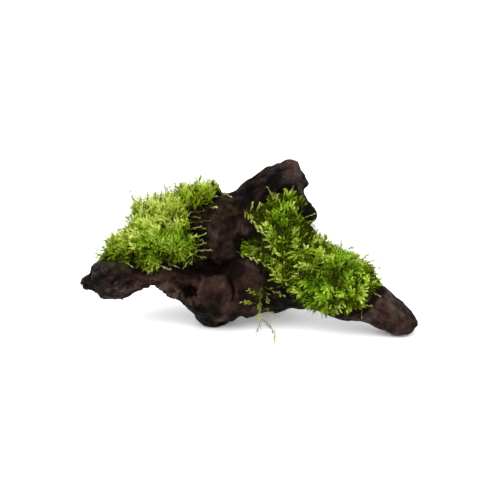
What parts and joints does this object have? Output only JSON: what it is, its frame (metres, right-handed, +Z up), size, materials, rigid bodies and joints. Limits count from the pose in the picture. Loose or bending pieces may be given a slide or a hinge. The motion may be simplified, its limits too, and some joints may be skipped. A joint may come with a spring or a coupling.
{
  "type": "java moss on driftwood",
  "caption": "Dark branching piece of aquarium driftwood with soft green cushions of java moss on its arms and a loose sprig hanging in front.",
  "frame": {"origin": "middle of the piece's overall box, at the level of the surface it stands on", "axes": "+Z up, +X along the long way of the driftwood, towards the low arm whose end rests on the surface, and -Y towards the front"},
  "size_m": [0.1976, 0.0686, 0.0992],
  "materials": {
    "driftwood": "wet, almost black bogwood with worn brown grain",
    "moss": "fresh green branching moss with paler yellow-green tips"
  },
  "bodies": {
    "root": {"driftwood_trunk": "driftwood", "driftwood_left_arm": "driftwood", "driftwood_right_arm": "driftwood", "driftwood_peak": "driftwood", "driftwood_rear_foot": "driftwood", "moss_left_cushion": "moss", "moss_right_cushion": "moss", "moss_hanging_sprig": "moss"}
  },
  "joints": []
}
